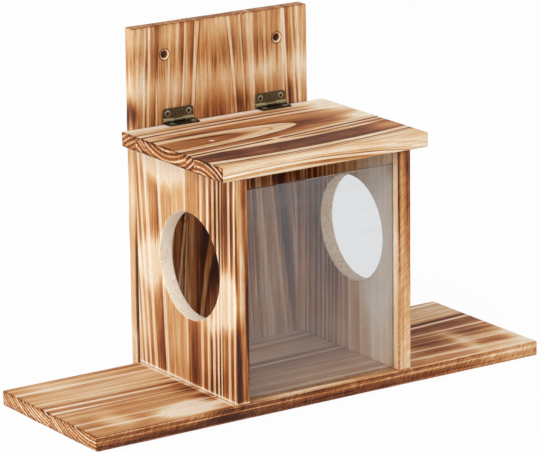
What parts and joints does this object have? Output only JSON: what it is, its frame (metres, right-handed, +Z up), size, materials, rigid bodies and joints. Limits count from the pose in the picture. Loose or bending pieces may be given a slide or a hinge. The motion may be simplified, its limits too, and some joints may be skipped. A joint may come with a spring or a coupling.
{
  "type": "squirrel feeder box",
  "caption": "Wooden feeding box for squirrels: hinged flat lid, round entrances in the sides, clear front pane in grooves, landing ledges and a tall back board to hang it by.",
  "frame": {"origin": "under the middle of the part's bounding box, level with the underside of the base board", "axes": "+X along the base board to the right as seen from the front, +Y to the back board, +Z up"},
  "size_m": [0.35, 0.1334, 0.2377],
  "materials": {
    "scorched_softwood": "torched and brushed softwood, bare",
    "clear_acrylic": "clear polished sheet",
    "antique_bronze": "dark antique plating, worn on the edges",
    "bronze_screw": "antique plated",
    "zinc_screw": "zinc plated"
  },
  "bodies": {
    "box": {"base_board": "scorched_softwood", "back_board": "scorched_softwood", "left_side_wall": "scorched_softwood", "right_side_wall": "scorched_softwood", "left_hinge_back_leaf": "antique_bronze", "right_hinge_back_leaf": "antique_bronze", "left_hinge_pin": "antique_bronze", "right_hinge_pin": "antique_bronze", "left_hinge_back_screw_1": "bronze_screw", "left_hinge_back_screw_2": "bronze_screw", "right_hinge_back_screw_1": "bronze_screw", "right_hinge_back_screw_2": "bronze_screw", "left_foot_screw_1": "zinc_screw", "left_foot_screw_2": "zinc_screw", "right_foot_screw_1": "zinc_screw", "right_foot_screw_2": "zinc_screw", "left_back_screw_1": "zinc_screw", "left_back_screw_2": "zinc_screw", "right_back_screw_1": "zinc_screw", "right_back_screw_2": "zinc_screw", "base_back_screw_1": "zinc_screw", "base_back_screw_2": "zinc_screw"},
    "lid": {"lid_board": "scorched_softwood", "left_hinge_lid_leaf": "antique_bronze", "right_hinge_lid_leaf": "antique_bronze", "left_hinge_lid_screw_1": "bronze_screw", "left_hinge_lid_screw_2": "bronze_screw", "right_hinge_lid_screw_1": "bronze_screw", "right_hinge_lid_screw_2": "bronze_screw"},
    "pane": {"front_pane": "clear_acrylic"}
  },
  "joints": [
    {"name": "lid_hinge", "type": "hinge", "parent": "box", "child": "lid", "pos_m": [0, 0.0551, 0.1726], "axis": [-1, 0, 0], "range_deg": [0, 92]},
    {"name": "pane_slide", "type": "slide", "parent": "box", "child": "pane", "axis": [0, 0, 1], "range_m": [0, 0.01]}
  ]
}
